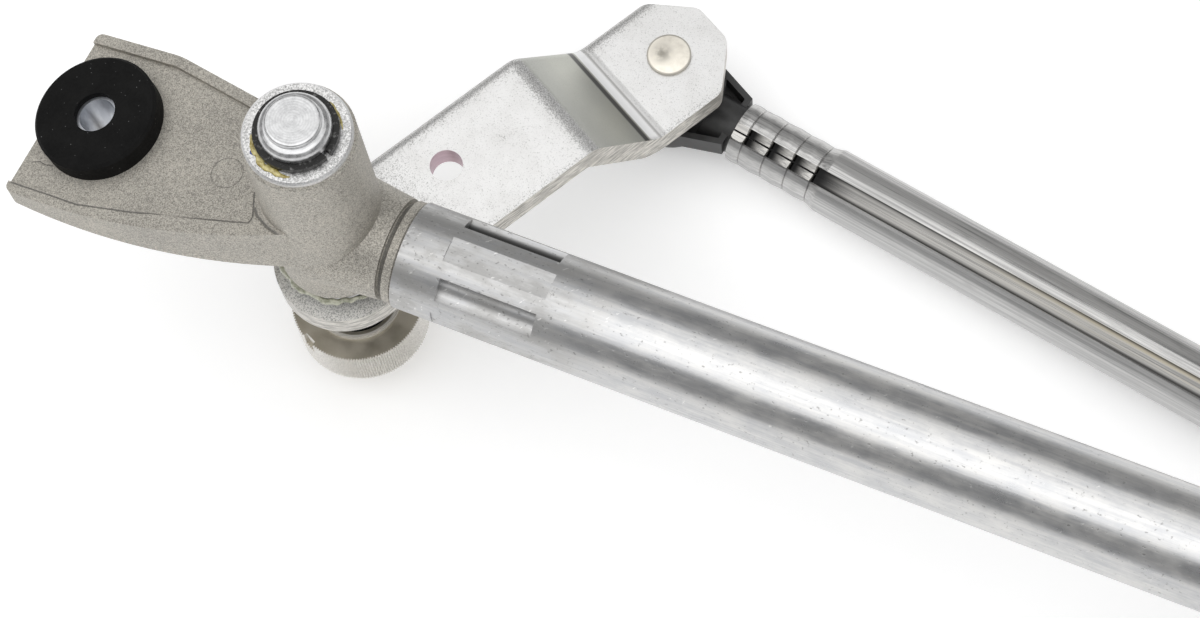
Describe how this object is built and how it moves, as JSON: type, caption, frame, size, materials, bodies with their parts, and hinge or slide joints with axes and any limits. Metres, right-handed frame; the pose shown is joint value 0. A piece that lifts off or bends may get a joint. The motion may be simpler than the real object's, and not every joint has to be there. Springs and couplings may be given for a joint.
{
  "type": "wiper linkage",
  "caption": "Windscreen wiper linkage: a crimped frame tube joins two cast pivot housings, whose cranked levers are tied by a rolled link rod and driven through a shorter rod.",
  "frame": {"origin": "centre of the near serrated drum's outer face, on the near pivot's axis, where the near wiper arm seats", "axes": "+Z along both pivot shafts from the wiper arm side to the inner side, +X along the frame tube's near run"},
  "size_m": [0.6577, 0.2227, 0.0956],
  "materials": {
    "cast_aluminium": "as-cast, bead-blasted",
    "zinc_plate": "clear zinc plate on pressed steel",
    "galvanised_tube": "galvanised drawn tube with draw marks",
    "rolled_steel": "bright rolled strip",
    "turned_steel": "turned and zinc plated",
    "stud_steel": "cold-headed, warm grey",
    "die_cast_zinc": "die-cast zinc alloy, bright",
    "sintered_bronze": "oil-filled sintered bronze",
    "black_spring_steel": "blackened",
    "grommet_rubber": "matt moulded rubber",
    "seal_rubber": "matt rubber",
    "black_plastic": "moulded acetal",
    "bracket_steel": "galvanised pressed sheet"
  },
  "bodies": {
    "frame": {"near_housing": "cast_aluminium", "near_grommet": "grommet_rubber", "near_grommet_sleeve": "zinc_plate", "near_lower_bush": "sintered_bronze", "near_upper_bush": "sintered_bronze", "near_upper_washer": "zinc_plate", "near_thrust_washer": "zinc_plate", "far_housing": "cast_aluminium", "far_grommet": "grommet_rubber", "far_grommet_sleeve": "zinc_plate", "far_lower_bush": "sintered_bronze", "far_upper_bush": "sintered_bronze", "far_upper_washer": "zinc_plate", "far_thrust_washer": "zinc_plate", "frame_tube": "galvanised_tube", "motor_bracket": "bracket_steel"},
    "near_pivot": {"near_lower_seal": "seal_rubber", "near_shaft": "turned_steel", "near_retaining_ring": "black_spring_steel", "near_shaft_boot": "seal_rubber", "near_serrated_drum": "die_cast_zinc", "near_lever": "zinc_plate", "near_link_stud": "stud_steel"},
    "far_pivot": {"far_lower_seal": "seal_rubber", "far_shaft": "turned_steel", "far_retaining_ring": "black_spring_steel", "far_shaft_boot": "seal_rubber", "far_serrated_drum": "die_cast_zinc", "far_lever": "zinc_plate", "far_link_stud": "stud_steel", "far_drive_stud": "stud_steel"},
    "link_rod": {"link_rod_tube": "rolled_steel", "near_rod_socket": "black_plastic", "far_rod_socket": "black_plastic"},
    "drive_rod": {"drive_rod_tube": "rolled_steel", "drive_rod_socket": "black_plastic", "crank_socket": "black_plastic"}
  },
  "joints": [
    {"name": "near_pivot_turn", "type": "hinge", "parent": "frame", "child": "near_pivot", "pos_m": [0, 0, 0], "axis": [0, 0, 1], "range_deg": [-25, 60]},
    {"name": "far_pivot_turn", "type": "hinge", "parent": "frame", "child": "far_pivot", "pos_m": [0.55149, -0.09724, 0], "axis": [0, 0, 1], "range_deg": [-25, 60]},
    {"name": "link_rod_turn", "type": "hinge", "parent": "near_pivot", "child": "link_rod", "pos_m": [0.03552, 0.06435, -0.0002], "axis": [0, 0, 1], "range_deg": [-60, 25]},
    {"name": "drive_rod_turn", "type": "hinge", "parent": "far_pivot", "child": "drive_rod", "pos_m": [0.52974, -0.13664, 0.015], "axis": [0, 0, 1], "range_deg": [-68, 34]}
  ],
  "couplings": [
    {"joint": "far_pivot_turn", "follows": "near_pivot_turn", "ratio": 1},
    {"joint": "link_rod_turn", "follows": "near_pivot_turn", "ratio": -1}
  ]
}
